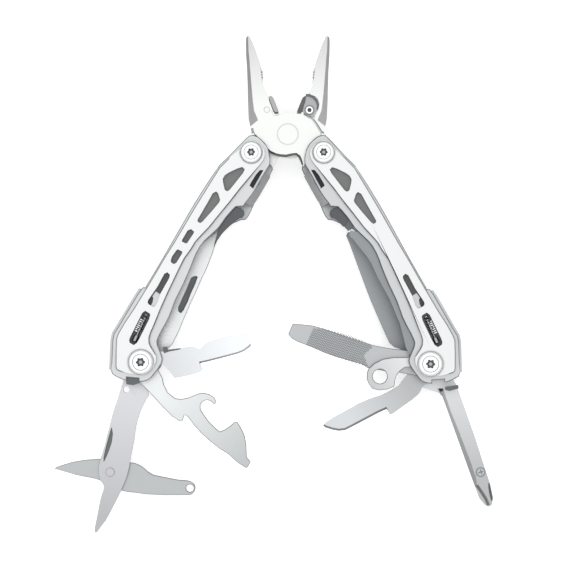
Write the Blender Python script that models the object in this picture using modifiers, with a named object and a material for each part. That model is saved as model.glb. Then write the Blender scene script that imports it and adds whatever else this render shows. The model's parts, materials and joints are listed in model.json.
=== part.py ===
"""Folding multi tool: plier head, two handles and nine fold-out tools.

Frame: the open tool lies flat.  +X is to the right, +Y towards the jaw tips
and +Z up through the thickness (the front scales are on top).  The origin is
the centre of the bounding box in X and Y, at the lowest face in Z.

Plan outlines are drawn on a grid of 0.355 mm: u to the right, v down, with
the head rivet at (287.8, 134).  Heights are in millimetres.
"""
import math

import bmesh
import bpy
from mathutils import Matrix, Vector

# ---------------------------------------------------------------- dimensions
GRID = 0.355e-3            # one grid unit in metres
U0, V0 = 273.387, 284.698      # grid point of the frame's origin
MM = 0.001
GAP = 0.3                  # clearance between neighbouring pieces, mm

RIVET = (287.8, 134.0)
TOP_L = (251.3, 153.0)     # handle pivots on the head
TOP_R = (323.5, 153.0)
HANDLE_LEN = 236.0         # top pivot to bottom pivot, grid units (83.8 mm)
HANDLE_L_DEG = 27.73       # spread of each handle from straight down
HANDLE_R_DEG = 26.74
TOOL_L = (142.2, 360.5)    # pivot the left tools are drawn about
TOOL_R = (430.4, 365.2)    # pivot the right tools are drawn about

# stack through the thickness, mm
Z_NUT = (0.0, 0.8)
Z_REAR_SCALE = (1.1, 2.4)
Z_REAR_LINER = (2.7, 3.7)
Z_FRONT_LINER = (16.6, 17.6)
Z_FRONT_SCALE = (17.9, 19.3)
Z_HEAD_TOP = 20.4
Z_WEB = (4.0, 16.3)
SLAB = 1.8                 # pitch of the tool slabs inside a handle
SLAB_T = 1.5


def slab(k):
    """Height range of tool slab k, 1 at the front to 7 at the rear."""
    top = 16.3 - (k - 1) * SLAB
    return (top - SLAB_T, top)


Z_JAW = (5.8, 14.5)
Z_FRONT_HALF = (10.3, 14.48)
Z_REAR_HALF = (5.82, 10.0)

R_SHAFT = 2.2              # pivot screw shaft, mm
R_HOLE = 2.5               # running hole on it
R_SLEEVE = 3.0             # nut sleeve
TANG = 15.0                # radius of a tool's tang, grid units

# ---------------------------------------------------------------- clean file
for ob in list(bpy.data.objects):
    bpy.data.objects.remove(ob, do_unlink=True)


def collection(name):
    c = bpy.data.collections.get(name) or bpy.data.collections.new(name)
    if c.name not in bpy.context.scene.collection.children:
        bpy.context.scene.collection.children.link(c)
    return c


PARTS = collection("multi_tool")
CUTTERS = collection("cutters")


def material(name, colour, rough, metal):
    m = bpy.data.materials.new(name)
    m.use_nodes = True
    b = m.node_tree.nodes["Principled BSDF"]
    b.inputs["Base Color"].default_value = (*colour, 1.0)
    b.inputs["Roughness"].default_value = rough
    b.inputs["Metallic"].default_value = metal
    return m


MATS = {
    "scale": material("scale_satin", (0.83, 0.84, 0.85), 0.32, 1.0),
    "liner": material("liner_satin", (0.74, 0.75, 0.76), 0.36, 1.0),
    "head": material("head_satin", (0.80, 0.81, 0.81), 0.30, 1.0),
    "jaw_edge": material("insert_steel", (0.52, 0.53, 0.53), 0.38, 1.0),
    "tool": material("tool_satin", (0.66, 0.68, 0.68), 0.34, 1.0),
    "dark": material("dark_steel", (0.25, 0.26, 0.27), 0.42, 1.0),
    "file": material("file_steel", (0.40, 0.41, 0.42), 0.50, 1.0),
    "screw": material("screw_steel", (0.80, 0.81, 0.82), 0.24, 1.0),
    "spring": material("spring_steel", (0.72, 0.73, 0.74), 0.28, 1.0),
}


# ------------------------------------------------------------------ geometry
def world(u, v):
    return ((u - U0) * GRID, (V0 - v) * GRID)


def about(pts, centre):
    """Grid points as metres from a centre, world directions."""
    return [((u - centre[0]) * GRID, (centre[1] - v) * GRID) for u, v in pts]


def arc(cx, cy, r, a0, a1, n):
    """Grid points on an arc; angles in degrees, counter-clockwise seen from +Z."""
    out = []
    for i in range(n + 1):
        a = math.radians(a0 + (a1 - a0) * i / n)
        out.append((cx + r * math.cos(a), cy - r * math.sin(a)))
    return out


def circle(cx, cy, r, n=20):
    """A closed circle in the coordinates given (no repeated last point)."""
    return [(cx + r * math.cos(2 * math.pi * i / n),
             cy + r * math.sin(2 * math.pi * i / n)) for i in range(n)]


def to_handle(pts, side=1):
    """Grid points drawn on the left handle as (along, inward) metres.

    side is 1 for the left handle and -1 for its mirror image.
    """
    a = math.radians(HANDLE_L_DEG)
    ax, ay = -math.sin(a), math.cos(a)       # along the handle, in (u, v)
    qx, qy = math.cos(a), math.sin(a)        # inward
    out = []
    for u, v in pts:
        du, dv = u - TOP_L[0], v - TOP_L[1]
        out.append(((du * ax + dv * ay) * GRID, side * (du * qx + dv * qy) * GRID))
    return out


EMPTIES = {}


def pivot(name, u, v, deg=0.0, parent=None):
    """An empty on a joint's axis; pieces of the moving body hang from it."""
    e = bpy.data.objects.new(name, None)
    e.empty_display_size = 0.005
    x, y = world(u, v)
    m = Matrix.Translation((x, y, 0)) @ Matrix.Rotation(math.radians(deg), 4, "Z")
    PARTS.objects.link(e)
    e.matrix_world = m
    if parent is not None:
        e.parent = EMPTIES[parent]
        e.matrix_parent_inverse = EMPTIES[parent].matrix_world.inverted()
        e.matrix_world = m
    bpy.context.view_layer.update()
    EMPTIES[name] = e
    return e


def place(ob, body, mat):
    """Hang a mesh, modelled in the body's own axes, from that body's empty."""
    ob.parent = EMPTIES[body]
    if not ob.data.materials:
        ob.data.materials.append(MATS[mat])
    else:
        ob.data.materials[0] = MATS[mat]
    if ob.name not in PARTS.objects:
        PARTS.objects.link(ob)
    return ob


def clean(points):
    """Drop repeated neighbours from a closed loop."""
    out = []
    for p in points:
        if not out or math.dist(p, out[-1]) > 1e-6:
            out.append(p)
    if math.dist(out[0], out[-1]) < 1e-6:
        out.pop()
    return out


def outline_mesh(name, loops, z0, z1):
    """A flat outline with holes, extruded between two heights (mm)."""
    cu = bpy.data.curves.new(name + "_outline", "CURVE")
    cu.dimensions = "2D"
    cu.fill_mode = "BOTH"
    cu.extrude = (z1 - z0) * MM / 2
    for loop in loops:
        loop = clean(loop)
        sp = cu.splines.new("POLY")
        sp.points.add(len(loop) - 1)
        for i, (x, y) in enumerate(loop):
            sp.points[i].co = (x, y, 0, 1)
        sp.use_cyclic_u = True
    co = bpy.data.objects.new(name + "_outline", cu)
    PARTS.objects.link(co)
    co.location = (0, 0, (z0 + z1) / 2 * MM)
    bpy.context.view_layer.update()
    dg = bpy.context.evaluated_depsgraph_get()
    me = bpy.data.meshes.new_from_object(co.evaluated_get(dg))
    me.transform(co.matrix_world)
    bpy.data.objects.remove(co, do_unlink=True)
    bm = bmesh.new()
    bm.from_mesh(me)
    bmesh.ops.remove_doubles(bm, verts=bm.verts, dist=2e-6)
    bmesh.ops.recalc_face_normals(bm, faces=bm.faces)
    bm.to_mesh(me)
    bm.free()
    me.name = name
    return me


def plate(name, body, mat, loops, z, coll=None):
    me = outline_mesh(name, loops, *z)
    ob = bpy.data.objects.new(name, me)
    return place(ob, body, mat)


def apply_boolean(ob, other, operation):
    md = ob.modifiers.new("bool", "BOOLEAN")
    md.operation = operation
    md.solver = "EXACT"
    md.object = other
    bpy.context.view_layer.update()
    dg = bpy.context.evaluated_depsgraph_get()
    me = bpy.data.meshes.new_from_object(ob.evaluated_get(dg))
    ob.modifiers.remove(md)
    mats = [m for m in ob.data.materials]
    old = ob.data
    ob.data = me
    bpy.data.meshes.remove(old)
    bm = bmesh.new()
    bm.from_mesh(me)
    bmesh.ops.remove_doubles(bm, verts=bm.verts, dist=1e-6)
    bmesh.ops.dissolve_degenerate(bm, edges=bm.edges, dist=1e-6)
    bm.to_mesh(me)
    bm.free()
    me.materials.clear()
    for m in mats:
        me.materials.append(m)
    for p in me.polygons:
        p.material_index = 0


def helper(name, body, me):
    """A cutter or a piece to be joined, kept out of the model."""
    ob = bpy.data.objects.new(name, me)
    CUTTERS.objects.link(ob)
    ob.parent = EMPTIES[body]
    ob.hide_render = True
    ob.display_type = "WIRE"
    return ob


def add_plate(ob, body, loops, z):
    h = helper(ob.name + "_add", body, outline_mesh(ob.name + "_add", loops, *z))
    apply_boolean(ob, h, "UNION")
    bpy.data.objects.remove(h, do_unlink=True)


def cut_plate(ob, body, loops, z):
    h = helper(ob.name + "_cut", body, outline_mesh(ob.name + "_cut", loops, *z))
    apply_boolean(ob, h, "DIFFERENCE")
    bpy.data.objects.remove(h, do_unlink=True)


def turned(name, body, mat, profile, x=0.0, y=0.0, steps=24):
    """A turned piece: profile of (radius, height) in mm, outer side top to bottom."""
    me = bpy.data.meshes.new(name + "_profile")
    verts = [(r * MM, 0, z * MM) for r, z in profile]
    me.from_pydata(verts, [(i, i + 1) for i in range(len(verts) - 1)], [])
    ob = bpy.data.objects.new(name, me)
    place(ob, body, mat)
    md = ob.modifiers.new("turn", "SCREW")
    md.axis = "Z"
    md.steps = steps
    md.render_steps = steps
    md.use_merge_vertices = True
    md.merge_threshold = 0.00001
    md.use_normal_calculate = True
    bpy.context.view_layer.update()
    dg = bpy.context.evaluated_depsgraph_get()
    new = bpy.data.meshes.new_from_object(ob.evaluated_get(dg))
    ob.modifiers.remove(md)
    ob.data = new
    bpy.data.meshes.remove(me)
    bm = bmesh.new()
    bm.from_mesh(new)
    bmesh.ops.remove_doubles(bm, verts=bm.verts, dist=1e-6)
    bmesh.ops.recalc_face_normals(bm, faces=bm.faces)
    bm.to_mesh(new)
    bm.free()
    new.transform(Matrix.Translation((x, y, 0)))
    new.materials.clear()
    new.materials.append(MATS[mat])
    new.name = name
    new.shade_smooth()
    new.set_sharp_from_angle(angle=math.radians(32))
    return ob


def star(cx, cy, r, n=6, depth=0.30, per=4):
    """Rounded six-lobe drive outline, metres."""
    out = []
    steps = n * per
    for i in range(steps):
        a = 2 * math.pi * i / steps
        rr = r * (1 - depth * 0.5 * (1 - math.cos(n * a)))
        out.append((cx + rr * math.cos(a), cy + rr * math.sin(a)))
    return out


def strip(points, width, sign=1):
    """Closed outline of a wall of given width beside a line of grid points."""
    other = []
    n = len(points)
    for i, (u, v) in enumerate(points):
        a = points[max(i - 1, 0)]
        b = points[min(i + 1, n - 1)]
        du, dv = b[0] - a[0], b[1] - a[1]
        k = math.hypot(du, dv)
        other.append((u - sign * dv / k * width, v + sign * du / k * width))
    return list(points) + other[::-1]


# -------------------------------------------------------------------- bodies
def bottom_of(top, deg, side):
    a = math.radians(deg)
    return (top[0] - side * HANDLE_LEN * math.sin(a), top[1] + HANDLE_LEN * math.cos(a))


BOT_L = bottom_of(TOP_L, HANDLE_L_DEG, 1)
BOT_R = bottom_of(TOP_R, HANDLE_R_DEG, -1)

pivot("head", *RIVET)
pivot("rear_jaw_axis", *RIVET, parent="head")
pivot("handle_right_axis", *TOP_R, deg=-90 + HANDLE_R_DEG, parent="head")
pivot("handle_left_axis", *TOP_L, deg=-90 - HANDLE_L_DEG, parent="rear_jaw_axis")
for nm in ("knife_axis", "flat_driver_axis", "opener_axis", "scissors_axis"):
    pivot(nm, *BOT_L, parent="handle_left_axis")
for nm in ("saw_axis", "large_knife_axis", "ring_axis", "file_axis",
           "small_knife_axis", "cross_driver_axis"):
    pivot(nm, *BOT_R, parent="handle_right_axis")


def shift_l(pts):
    """Left tools: metres from their pivot."""
    return about(pts, TOOL_L)


def shift_r(pts):
    return about(pts, TOOL_R)


# the scissors' rivet, drawn with the left tools
SCISSOR_RIVET = (110.0, 471.5)
pivot("scissor_lever_axis", BOT_L[0] + SCISSOR_RIVET[0] - TOOL_L[0],
      BOT_L[1] + SCISSOR_RIVET[1] - TOOL_L[1], parent="scissors_axis")

# -------------------------------------------------------------------- pliers
RV = RIVET
JAW_OUT = [(247.5, 35.5), (246, 37), (245.7, 43), (246, 55), (247, 70), (247.5, 85),
           (247.8, 100), (248.5, 118), (251, 130), (253, 135)]
JAW_IN = [(250, 36), (251, 39), (253, 43), (255, 48), (257, 54), (259.5, 61), (261.5, 67.5)]
TEETH = [(260.6, 69), (262.6, 70.2), (260.9, 71.6), (262.9, 72.8), (261.2, 74.2),
         (263.2, 75.4), (261.5, 76.8), (263.0, 79.5)]
JAW_IN_LOW = [(262.5, 83), (264, 87), (267, 93), (267.4, 95.6)]
# seat of the wire-cutter insert, a shallow concave pocket
SEAT = [(269.6, 104), (271.8, 110)]

# the front piece: left jaw, boss and right tang
# full depth above the joint, clear of the other piece's boss and tang
JAW_FOOT = [(251.6, 132.0), (253.2, 131.2), (255.8, 127.2), (258.8, 122.2), (262, 118.2),
            (265, 116), (268.2, 115), (271.2, 113.2)]
front_full = JAW_OUT[:-1] + JAW_FOOT \
    + SEAT[::-1] + JAW_IN_LOW[::-1] + TEETH[::-1] + JAW_IN[::-1]
front_half = [(250.5, 105), (250.8, 118), (252.3, 128), (254.2, 134.4), (256, 136), (258, 138.6),
              (260, 142), (263, 145), (267, 149), (270, 152), (275, 155), (280, 156.5),
              (286, 157), (292, 155.5), (296, 155), (298.5, 157), (300, 160),
              (302, 165.2), (303.5, 165.8), (305, 163.5)] \
    + arc(*TOP_R, 14, 215, 360 + 100, 14) \
    + [(320, 132), (318, 129), (315, 124), (312, 120), (307, 117), (303, 114.5),
       (296, 113.2), (288, 113), (281, 114.2), (278.4, 115.6), (272.8, 115.4),
       (271.2, 110.3), (269, 104.3), (266.8, 98.4)]
jaw_front = plate("jaw_front", "head", "head", [about(front_full, RV)], Z_JAW)
add_plate(jaw_front, "head", [about(front_half, RV)], Z_FRONT_HALF)
cut_plate(jaw_front, "head", [circle(0, 0, 3.3 * MM, 20)], (9, 16))
cut_plate(jaw_front, "head", [circle(0, 0, 3.8 * MM, 36)], (13.5, 16))
cut_plate(jaw_front, "head",
          [circle((TOP_R[0] - RV[0]) * GRID, (RV[1] - TOP_R[1]) * GRID, R_HOLE * MM, 20)], (9, 16))


def flip(pts):
    """Mirror grid points in the plane through the head rivet."""
    return [(2 * RV[0] - u, v) for u, v in pts]


# the rear piece: right jaw, boss and left tang (the front piece's mirror image)
rear_full = flip(front_full)
rear_half = flip(front_half)
jaw_rear = plate("jaw_rear", "rear_jaw_axis", "head", [about(rear_full, RV)], Z_JAW)
add_plate(jaw_rear, "rear_jaw_axis", [about(rear_half, RV)], Z_REAR_HALF)
cut_plate(jaw_rear, "rear_jaw_axis", [circle(0, 0, 3.3 * MM, 20)], (4, 11))
cut_plate(jaw_rear, "rear_jaw_axis", [circle(0, 0, 3.8 * MM, 36)], (4, 6.8))
cut_plate(jaw_rear, "rear_jaw_axis",
          [circle((TOP_L[0] - RV[0]) * GRID, (RV[1] - TOP_L[1]) * GRID, R_HOLE * MM, 20)], (4, 11))

turned("head_rivet", "head", "head",
       [(0, 14.46), (3.55, 14.46), (3.65, 14.36), (3.65, 13.7), (3.0, 13.7), (3.0, 6.6),
        (3.65, 6.6), (3.65, 5.94), (3.55, 5.84), (0, 5.84)], steps=36)

# wire-cutter inserts, one in each jaw, and the screws that hold them
INSERT = [(268.6, 96.2), (271, 95.5), (273, 97), (276, 104), (278, 109.4), (278.7, 111.6),
          (276.4, 112.2), (274.4, 111.6), (273.0, 109.2), (270.9, 103.6), (268.7, 98)]
plate("cutter_insert_left", "head", "jaw_edge", [about(INSERT, RV)], (6.1, 14.2))
insert_right = plate("cutter_insert_right", "rear_jaw_axis", "jaw_edge",
                     [about(flip(INSERT), RV)], (6.1, 14.2))
# the right one carries a flat bed, let into a pocket of the jaw's face
RECESS = [(295, 95), (303, 95.5), (306, 93.5), (309, 93), (311, 94.5), (315, 96), (318, 99),
          (319.5, 104), (318.5, 109), (317, 112), (315.5, 116), (314.5, 121), (295, 121)]
BED = [(303.4, 97.2), (306.5, 95.0), (309, 94.3), (311, 95.9), (314.3, 97.3), (316.9, 99.9),
       (318.2, 104), (317.2, 108.6), (315.7, 111.5), (314.3, 115), (313.4, 117.0),
       (310.6, 115.6), (307.4, 114.6), (304.4, 112.9), (302.2, 111.2), (300.2, 111.3),
       (299.0, 109.4), (300.6, 104)]
cut_plate(jaw_rear, "rear_jaw_axis", [about(RECESS, RV)], (12.7, 16))
add_plate(insert_right, "rear_jaw_axis", [about(BED, RV)], (13.0, 14.18))
SCREW_R, SCREW_L = (309.5, 109.8), (266.8, 109.5)


def from_rivet(uv):
    return (uv[0] - RV[0]) * GRID, (RV[1] - uv[1]) * GRID


sx, sy = from_rivet(SCREW_R)
cut_plate(insert_right, "rear_jaw_axis", [circle(sx, sy, 1.1 * MM, 16)], (12, 15))
cut_plate(insert_right, "rear_jaw_axis", [circle(sx, sy, 1.75 * MM, 20)], (13.6, 15))
cut_plate(jaw_rear, "rear_jaw_axis", [circle(sx, sy, 1.1 * MM, 16)], (8.7, 15))
cutter_screw = turned("cutter_screw_right", "rear_jaw_axis", "screw",
                      [(0, 14.45), (1.35, 14.45), (1.55, 14.25), (1.55, 13.8), (0.85, 13.8),
                       (0.85, 9.0), (0, 9.0)], x=sx, y=sy, steps=20)
cut_plate(cutter_screw, "rear_jaw_axis", [star(sx, sy, 0.75 * MM)], (13.95, 15))
sx, sy = from_rivet(SCREW_L)
cut_plate(jaw_front, "head", [circle(sx, sy, 1.2 * MM, 16)], (8.7, 15))
turned("cutter_screw_left", "head", "screw",
       [(0, 14.42), (0.9, 14.42), (1.0, 14.3), (1.0, 9.0), (0, 9.0)], x=sx, y=sy, steps=16)

# ------------------------------------------------------------------- handles
SCALE = [(248, 141), (240, 150), (230, 158), (220, 168), (213, 179), (205, 192),
         (195, 208), (185, 225), (175, 242), (165, 258), (155, 275), (146, 290),
         (135, 308), (125, 323), (119, 333.5), (117.3, 338), (116.7, 350), (116.5, 366),
         (117.5, 369.5), (121, 371), (130, 373), (142, 375), (147, 374), (151, 371),
         (154.5, 366.5), (156.5, 361.5), (156.8, 356), (155, 352), (152, 347),
         (150.2, 343), (150, 338), (151.5, 333), (155, 325), (161, 310), (165, 301),
         (170, 290), (180, 269), (185, 259), (191.5, 250), (196, 242.5), (200, 238),
         (210, 227.5), (220, 215), (230, 203), (240, 190), (250, 178), (260, 165),
         (263.5, 160), (265, 155), (264, 150), (261, 146), (257, 143), (252.5, 141)]
LINER_OUT = [(262, 140.5), (258, 137.2), (253, 135.3), (249, 136.3), (246, 139),
             (240, 145), (230, 155.5), (220, 165), (213, 175), (205, 187), (195, 203),
             (185, 220), (175, 237.5), (165, 255), (155, 272), (147.5, 284.5),
             (146, 287.6), (143.2, 287.4), (139, 293), (130, 308), (120, 325),
             (114.5, 333.5), (113.2, 340), (112.5, 355), (112, 365), (111.3, 370),
             (113, 374), (117, 376.5), (123, 379.2)]
LINER_NOTCH = [(127, 380.4), (127.2, 376.9), (139.4, 378), (139.4, 381.6)]
LINER_IN = [(145, 381), (149, 379.5), (152, 377), (155.5, 372.5), (159, 368),
            (162, 363), (163, 359), (162, 355), (160, 350), (158, 345), (157.5, 341),
            (159, 337), (162, 331), (166, 324), (170, 316), (173, 308), (176, 300),
            (180, 292), (184, 284), (188, 275), (191, 268), (194, 260), (197, 253),
            (201, 246), (205, 241), (210, 236.5), (219, 228), (226, 218), (232, 211),
            (236, 207)]
LINER_RIM = [(243.5, 206.5), (246, 203), (250, 198), (254.5, 191.5), (262, 178),
             (269.8, 165.3), (270.2, 158), (268.5, 150), (266, 145)]
RIM_HOLE = [(260, 170.5), (263.5, 170.5), (258, 182), (253.7, 189.4), (249.6, 186),
            (251, 183), (256, 175)]
REAR_RIM = [(240, 219), (245, 218.5), (248, 215), (250, 211), (255, 200), (260, 190),
            (265, 181), (270, 173), (272.5, 168), (272.3, 158), (269.5, 150), (266.5, 145)]
FRONT_LINER = LINER_OUT + LINER_NOTCH + LINER_IN + LINER_RIM
REAR_LINER = LINER_OUT + [(131, 380.8), (139, 381.5)] + LINER_IN[:-3] + REAR_RIM

W1 = [(238, 169), (242.5, 167.7), (245, 170), (243.5, 173.5), (236, 183), (230, 190.5),
      (227.5, 192), (225, 190.5), (223.3, 183), (223, 179.5), (225, 176), (229, 173.2)]
W2 = [(216.5, 192), (218.5, 194), (220.5, 200.5), (219.5, 203), (212, 212), (203, 222),
      (200.5, 223.7), (198, 222), (198, 220), (201, 215), (208, 203), (213, 194)]
W3 = [(191.5, 229.5), (194.5, 232), (194, 234), (188, 243), (186.5, 244), (182.5, 242),
      (182.5, 240.5), (188, 231)]
W4 = [(178.5, 249.7), (183, 252), (182.5, 254), (177, 263), (174.5, 264.5), (172, 263),
      (171.2, 261), (172.5, 257), (177, 250.5)]
W5 = [(168, 272.5), (170.5, 275), (170, 278), (161, 294), (157.5, 304), (155.5, 306.5),
      (154, 307), (149.5, 304.5), (148.3, 302.5), (149, 300), (158, 287), (165, 274)]
W6 = [(146, 310.8), (150.5, 313.5), (151, 315), (150, 319), (140, 339), (137.5, 343),
      (134.5, 345), (130.5, 342.5), (130, 340), (131, 337), (143, 313)]
# pockets in the front liner behind the two lowest windows
LOCK_POCKET = [(169.5, 271), (172.3, 274), (172, 279), (163, 295), (159.5, 304),
               (157, 308.3), (153.5, 308.8), (148, 306), (146.4, 303), (147.2, 299.5),
               (156.5, 286), (163.5, 272.5)]
SPRING_POCKET = [(146, 309.4), (151.4, 312.6), (152.3, 315), (151, 319.5), (141, 340),
                 (138.2, 344.4), (134.6, 346.4), (129.6, 343.4), (128.8, 340), (130, 336.5),
                 (142, 312)]
LEAF = [(165.4, 287.0), (161.6, 293.6), (158.3, 303), (156, 307), (153.6, 307.4),
        (150.9, 306.1), (153.0, 302.3), (153.7, 298), (152.6, 296.3), (158.4, 288.0)]
SPINE_LINE = [(142.2, 290.2), (138.6, 295.2), (130.6, 308.4), (120.6, 325.2),
              (115.2, 333.8), (114.0, 340), (113.3, 355), (112.9, 365), (112.6, 369.5)]
WEB_LINE = [(265.5, 172.5), (262, 178.5), (254.8, 191.2), (250.4, 198.2), (246.4, 203.4)]
HUMP = [(237.4, 207.6), (241, 208.4), (243.8, 211), (244.4, 214.6), (242.6, 217.8),
        (239.5, 218.4), (236.5, 220.4), (229, 226.8), (222.4, 233.4), (217.6, 240.2),
        (213.6, 248.6), (214.6, 243.0), (216.6, 236.0), (218.2, 229.4), (219.4, 223.0),
        (228, 212.0), (233.0, 205.8)]
# on the right the saw's tip takes the place of the bar's lower end
HUMP_SHORT = [(237.4, 207.6), (241, 208.4), (243.8, 211), (244.4, 214.6), (242.6, 217.8),
              (239.5, 218.4), (236.5, 220.4), (230.5, 226.4), (227.4, 225.2), (224.5, 217.0),
              (228, 212.0), (233.0, 205.8)]


def shear_inward(ob, side, amount):
    """Lean a wall inward towards its rear edge by an amount in grid units."""
    z_top, z_bot = Z_WEB[1] * MM, Z_WEB[0] * MM
    for vtx in ob.data.vertices:
        k = (z_top - vtx.co.z) / (z_top - z_bot)
        vtx.co.y += side * amount * GRID * k


def torx_cut(ob, body, x, y, r, z0):
    cut_plate(ob, body, [star(x, y, r * MM)], (z0, Z_HEAD_TOP + 1))


def make_handle(tag, body, side):
    def h(pts):
        return to_handle(pts, side)

    L = HANDLE_LEN * GRID
    hole_t = circle(0, 0, R_HOLE * MM, 20)
    hole_b = circle(L, 0, R_HOLE * MM, 20)
    sleeve_t = circle(0, 0, (R_SLEEVE + GAP) * MM, 20)
    sleeve_b = circle(L, 0, (R_SLEEVE + GAP) * MM, 20)
    wins = [W1, W2, W5, W6] if side < 0 else [W1, W2, W3, W4, W5, W6]
    front = plate("front_scale_" + tag, body, "scale",
                  [h(SCALE), hole_t, hole_b] + [h(w) for w in wins], Z_FRONT_SCALE)
    # shallow seats around the screw heads
    for x, r in ((0.0, 4.35), (L, 4.95)):
        cut_plate(front, body, [circle(x, 0, r * MM, 24)], (18.85, 20))
    plate("rear_scale_" + tag, body, "scale",
          [h(SCALE), sleeve_t, sleeve_b] + [h(w) for w in wins], Z_REAR_SCALE)
    plate("front_liner_" + tag, body, "liner",
          [h(FRONT_LINER), hole_t, hole_b, h(RIM_HOLE), h(LOCK_POCKET), h(SPRING_POCKET)],
          Z_FRONT_LINER)
    plate("rear_liner_" + tag, body, "liner",
          [h(REAR_LINER), sleeve_t, sleeve_b], Z_REAR_LINER)
    plate("spine_" + tag, body, "liner", [h(strip(SPINE_LINE, 3.2, 1))], Z_WEB)
    web = plate("inner_web_" + tag, body, "liner", [h(strip(WEB_LINE, 3.0, 1))], Z_WEB)
    shear_inward(web, side, 5.5)
    plate("back_spring_" + tag, body, "dark", [h(HUMP if side > 0 else HUMP_SHORT)],
          (14.85, 16.3))
    plate("lock_leaf_" + tag, body, "spring", [h(LEAF)], (16.75, 17.45))

    # pivot screws from the front, sleeve nuts from the rear
    for end, x, r in (("top", 0.0, 4.05), ("bottom", L, 4.6)):
        sc = turned("screw_%s_%s" % (end, tag), body, "screw",
                    [(0, Z_HEAD_TOP), (r * 0.76, Z_HEAD_TOP), (r * 0.86, Z_HEAD_TOP - 0.12),
                     (r, Z_HEAD_TOP - 0.62), (r, 19.15), (R_SHAFT, 19.15),
                     (R_SHAFT, 1.4), (R_SHAFT - 0.3, 1.1), (0, 1.1)], x=x, steps=24)
        torx_cut(sc, body, x, 0, r * 0.36, Z_HEAD_TOP - 0.7)
        turned("nut_%s_%s" % (end, tag), body, "screw",
               [(R_HOLE, 3.4), (R_SLEEVE, 3.4), (R_SLEEVE, 0.8), (r, 0.8), (r, 0.3),
                (r - 0.35, 0.0), (0, 0.0), (0, 0.8), (R_HOLE, 0.8), (R_HOLE, 3.4)],
               x=x, steps=24)

    # lock plunger and its spring, seen through the lowest window
    a, b = h([(147.0, 314.2), (134.6, 341.6)])
    ax = Vector((b[0] - a[0], b[1] - a[1], 0))
    ln = ax.length
    ax.normalize()
    nrm = Vector((-ax.y, ax.x, 0))
    zc = 17.75 * MM
    turns, per, rad, wire = 6.0, 10, 0.78 * MM, 0.16 * MM
    pitch_len = 6.8 * MM
    cu = bpy.data.curves.new("lock_spring_" + tag, "CURVE")
    cu.dimensions = "3D"
    cu.bevel_depth = wire
    cu.bevel_resolution = 1
    cu.use_fill_caps = True
    sp = cu.splines.new("POLY")
    n = int(turns * per)
    sp.points.add(n)
    for i in range(n + 1):
        t = i / n
        an = 2 * math.pi * turns * t
        pos = Vector((a[0], a[1], zc)) + ax * (pitch_len * t + 0.1 * MM) \
            + nrm * (rad * math.cos(an)) + Vector((0, 0, 1)) * (rad * math.sin(an))
        sp.points[i].co = (*pos, 1)
    co = bpy.data.objects.new("lock_spring_tmp", cu)
    PARTS.objects.link(co)
    bpy.context.view_layer.update()
    dg = bpy.context.evaluated_depsgraph_get()
    me = bpy.data.meshes.new_from_object(co.evaluated_get(dg))
    bpy.data.objects.remove(co, do_unlink=True)
    bm = bmesh.new()
    bm.from_mesh(me)
    bmesh.ops.remove_doubles(bm, verts=bm.verts, dist=2e-6)
    bmesh.ops.recalc_face_normals(bm, faces=bm.faces)
    bm.to_mesh(me)
    bm.free()
    place(bpy.data.objects.new("lock_spring_" + tag, me), body, "spring")

    # the plunger: a stem inside the coil and a thicker nose towards the tangs
    pl = "lock_plunger_" + tag
    axis_empty = bpy.data.objects.new("plunger_axis_" + tag, None)
    axis_empty.empty_display_size = 0.003
    PARTS.objects.link(axis_empty)
    axis_empty.parent = EMPTIES[body]
    axis_empty.location = (a[0], a[1], zc)
    axis_empty.rotation_euler = (0, math.radians(90), math.atan2(ax.y, ax.x))
    bpy.context.view_layer.update()
    EMPTIES["plunger_axis_" + tag] = axis_empty
    # local +Z of the empty runs along the bar, towards the bottom pivot
    s0, s1, s2 = 2.2, 8.4, ln / MM
    turned(pl, "plunger_axis_" + tag, "spring",
           [(0, s2), (0.62, s2), (0.95, s2 - 0.33), (0.95, s1), (0.45, s1), (0.45, s0),
            (0, s0)], steps=16)


make_handle("left", "handle_left_axis", 1)
make_handle("right", "handle_right_axis", -1)

# spacers on the pivots: they fill the stack beside the tangs
def spacer(name, body, x, z, r=4.6):
    z0, z1 = z
    turned(name, body, "liner",
           [(R_HOLE, z1), (r, z1), (r, z0), (R_HOLE, z0), (R_HOLE, z1)], x=x, steps=24)


spacer("spacer_top_front_left", "handle_left_axis", 0, (10.3, 16.3))
spacer("spacer_top_rear_left", "handle_left_axis", 0, (4.0, 5.5))
spacer("spacer_top_front_right", "handle_right_axis", 0, (14.8, 16.3))
spacer("spacer_top_rear_right", "handle_right_axis", 0, (4.0, 10.0))
spacer("spacer_bottom_front_left", "handle_left_axis", HANDLE_LEN * GRID, (13.0, 14.5))
spacer("spacer_bottom_mid_left", "handle_left_axis", HANDLE_LEN * GRID, (9.4, 10.9))

# --------------------------------------------------------------------- tools
HOLE_L = circle(0, 0, R_HOLE * MM, 20)
PL, PR = TOOL_L, TOOL_R

# left handle ---------------------------------------------------------------
FLAT_DRIVER = [(168.9, 350.6), (176.5, 349), (183.7, 346.5), (190.8, 345.2), (194.9, 345.7),
               (200, 347.8), (202, 346.7), (206.1, 341.9), (209.2, 340.4), (216.3, 337.9),
               (229.6, 334.3), (241.8, 332.4), (248, 332), (249, 333.3), (251.8, 343.5),
               (250.5, 345.5), (244.9, 349.6), (238.8, 352.1), (221.4, 356.7),
               (207.1, 360.3), (201, 361.6), (201, 363.9), (203.8, 367.3), (201, 370.5),
               (193.9, 372.6), (183.7, 375.1), (175.5, 376.3), (174.0, 374.1),
               (170.0, 369), (163.3, 362.9), (157, 366)] \
    + arc(*PL, TANG, -30, -290, 14) + [(157, 349.6)]
plate("flat_driver", "flat_driver_axis", "tool", [shift_l(FLAT_DRIVER), HOLE_L], slab(1))

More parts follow.
